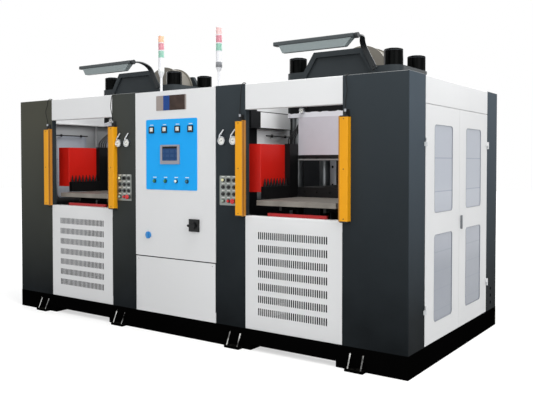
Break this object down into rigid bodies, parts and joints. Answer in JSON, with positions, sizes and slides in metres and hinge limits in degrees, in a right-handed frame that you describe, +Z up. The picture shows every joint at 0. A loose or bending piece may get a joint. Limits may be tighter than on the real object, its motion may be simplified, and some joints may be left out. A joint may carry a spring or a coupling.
{
  "type": "compression molding machine",
  "caption": "Hydraulic compression molding press in a guard enclosure, with a press station on each side of a control cabinet, light curtains and work lamps.",
  "frame": {"origin": "on the floor under the middle of the machine", "axes": "+X along the front to the viewer's right, +Z up, the front faces -Y"},
  "size_m": [4.308, 2.09, 2.625],
  "materials": {
    "plinth_black": "satin black paint",
    "cover_grey": "satin dark grey powder coat",
    "panel_white": "satin off-white powder coat",
    "machine_dark": "satin dark grey paint",
    "ground_steel": "ground steel",
    "chrome_bar": "polished hard chrome",
    "nut_black": "black oxide",
    "shield_steel": "brushed",
    "red_paint": "gloss red paint",
    "yellow_paint": "satin yellow powder coat",
    "black_rubber": "matte",
    "zinc_plate": "zinc plated",
    "box_grey": "satin grey paint",
    "tank_beige": "satin beige-grey paint",
    "unit_grey": "satin grey paint",
    "lamp_dark": "dark anodised",
    "lamp_cover": "translucent",
    "arm_black": "satin black",
    "panel_blue": "satin blue",
    "screen_dark": "gloss",
    "meter_dark": "gloss",
    "gauge_chrome": "polished",
    "tower_white": "gloss",
    "plate_silver": "brushed",
    "button_green": "gloss",
    "button_white": "gloss",
    "button_dark": "gloss",
    "stop_red": "gloss",
    "knob_black": "matte",
    "lock_blue": "gloss",
    "window_clear": "clear",
    "rail_black": "matte"
  },
  "bodies": {
    "machine": {"base_frame": "plinth_black", "front_corner_covers": "cover_grey", "rear_corner_covers": "cover_grey", "pillar_covers": "cover_grey", "top_panels": "panel_white", "lower_panels": "panel_white", "cabinet_case": "panel_white", "gear_plate": "zinc_plate", "rear_panels": "panel_white", "signal_towers": "tower_white", "pressure_gauges": "gauge_chrome", "control_plates": "plate_silver", "light_curtains": "yellow_paint", "curtain_cables": "black_rubber", "crowns": "machine_dark", "tie_bars": "chrome_bar", "tie_nuts": "nut_black", "press_beds": "machine_dark", "upper_platens": "ground_steel", "heat_shields": "shield_steel", "red_guards": "red_paint", "terminal_boxes": "box_grey", "press_hoses": "black_rubber", "rear_struts": "zinc_plate", "lamp_arms": "arm_black", "prefill_tanks": "tank_beige", "power_unit": "unit_grey", "wall_rails": "rail_black"},
    "cabinet_door": {"cabinet_door": "panel_white", "door_plates": "panel_blue", "touch_screen": "screen_dark", "door_instruments": "meter_dark"},
    "door_lock": {"door_lock": "lock_blue"},
    "switch_handle": {"switch_handle": "stop_red"},
    "pump_start_button": {"pump_start_button": "button_green"},
    "heater_start_button": {"heater_start_button": "button_green"},
    "lamp_test_button": {"lamp_test_button": "button_white"},
    "reset_button": {"reset_button": "button_dark"},
    "left_front_door": {"left_front_door": "panel_white", "left_front_windows": "window_clear"},
    "left_rear_door": {"left_rear_door": "panel_white", "left_rear_windows": "window_clear"},
    "left_side_handle": {"left_side_handle": "knob_black"},
    "left_table": {"left_table": "ground_steel", "left_lower_platen": "ground_steel"},
    "left_lamp": {"left_lamp_housing": "lamp_dark", "left_lamp_cover": "lamp_cover"},
    "left_selector": {"left_selector": "knob_black"},
    "left_stop_button": {"left_stop_button": "stop_red"},
    "right_front_door": {"right_front_door": "panel_white", "right_front_windows": "window_clear"},
    "right_rear_door": {"right_rear_door": "panel_white", "right_rear_windows": "window_clear"},
    "right_side_handle": {"right_side_handle": "knob_black"},
    "right_table": {"right_table": "ground_steel", "right_lower_platen": "ground_steel"},
    "right_lamp": {"right_lamp_housing": "lamp_dark", "right_lamp_cover": "lamp_cover"},
    "right_selector": {"right_selector": "knob_black"},
    "right_stop_button": {"right_stop_button": "stop_red"}
  },
  "joints": [
    {"name": "cabinet_door_hinge", "type": "hinge", "parent": "machine", "child": "cabinet_door", "pos_m": [0.455, -0.9855, 1.3775], "axis": [0, 0, 1], "range_deg": [0, 110]},
    {"name": "door_lock_turn", "type": "hinge", "parent": "cabinet_door", "child": "door_lock", "pos_m": [-0.301, -0.9903, 0.844], "axis": [0, -1, 0], "range_deg": [0, 90]},
    {"name": "switch_handle_turn", "type": "hinge", "parent": "cabinet_door", "child": "switch_handle", "pos_m": [0.235, -1.0123, 0.955], "axis": [0, -1, 0], "range_deg": [0, 90]},
    {"name": "pump_start_button_push", "type": "slide", "parent": "cabinet_door", "child": "pump_start_button", "axis": [0, 1, 0], "range_m": [0, 0.004], "stiffness_N_per_m": 300},
    {"name": "heater_start_button_push", "type": "slide", "parent": "cabinet_door", "child": "heater_start_button", "axis": [0, 1, 0], "range_m": [0, 0.004], "stiffness_N_per_m": 300},
    {"name": "lamp_test_button_push", "type": "slide", "parent": "cabinet_door", "child": "lamp_test_button", "axis": [0, 1, 0], "range_m": [0, 0.004], "stiffness_N_per_m": 300},
    {"name": "reset_button_push", "type": "slide", "parent": "cabinet_door", "child": "reset_button", "axis": [0, 1, 0], "range_m": [0, 0.004], "stiffness_N_per_m": 300},
    {"name": "left_front_door_hinge", "type": "hinge", "parent": "machine", "child": "left_front_door", "pos_m": [-2.147, -0.702, 1.03], "axis": [0, 0, 1], "range_deg": [0, 110]},
    {"name": "left_rear_door_hinge", "type": "hinge", "parent": "machine", "child": "left_rear_door", "pos_m": [-2.147, 0.702, 1.03], "axis": [0, 0, -1], "range_deg": [0, 110]},
    {"name": "left_side_handle_turn", "type": "hinge", "parent": "left_rear_door", "child": "left_side_handle", "pos_m": [-2.1383, 0.04, 1.05], "axis": [1, 0, 0], "range_deg": [0, 90]},
    {"name": "left_table_lift", "type": "slide", "parent": "machine", "child": "left_table", "axis": [0, 0, 1], "range_m": [0, 0.225]},
    {"name": "left_lamp_tilt", "type": "hinge", "parent": "machine", "child": "left_lamp", "pos_m": [-1.197, -0.672, 2.4415], "axis": [1, 0, 0], "range_deg": [-20, 45]},
    {"name": "left_selector_turn", "type": "hinge", "parent": "machine", "child": "left_selector", "pos_m": [-0.603, -0.9933, 1.339], "axis": [0, -1, 0], "range_deg": [-45, 45]},
    {"name": "left_stop_button_push", "type": "slide", "parent": "machine", "child": "left_stop_button", "axis": [0, 1, 0], "range_m": [0, 0.005], "stiffness_N_per_m": 600},
    {"name": "right_front_door_hinge", "type": "hinge", "parent": "machine", "child": "right_front_door", "pos_m": [2.147, -0.702, 1.03], "axis": [0, 0, -1], "range_deg": [0, 110]},
    {"name": "right_rear_door_hinge", "type": "hinge", "parent": "machine", "child": "right_rear_door", "pos_m": [2.147, 0.702, 1.03], "axis": [0, 0, 1], "range_deg": [0, 110]},
    {"name": "right_side_handle_turn", "type": "hinge", "parent": "right_rear_door", "child": "right_side_handle", "pos_m": [2.1383, 0.04, 1.05], "axis": [1, 0, 0], "range_deg": [0, 90]},
    {"name": "right_table_lift", "type": "slide", "parent": "machine", "child": "right_table", "axis": [0, 0, 1], "range_m": [0, 0.225]},
    {"name": "right_lamp_tilt", "type": "hinge", "parent": "machine", "child": "right_lamp", "pos_m": [1.197, -0.672, 2.4415], "axis": [1, 0, 0], "range_deg": [-20, 45]},
    {"name": "right_selector_turn", "type": "hinge", "parent": "machine", "child": "right_selector", "pos_m": [0.597, -0.9933, 1.339], "axis": [0, -1, 0], "range_deg": [-45, 45]},
    {"name": "right_stop_button_push", "type": "slide", "parent": "machine", "child": "right_stop_button", "axis": [0, 1, 0], "range_m": [0, 0.005], "stiffness_N_per_m": 600}
  ]
}
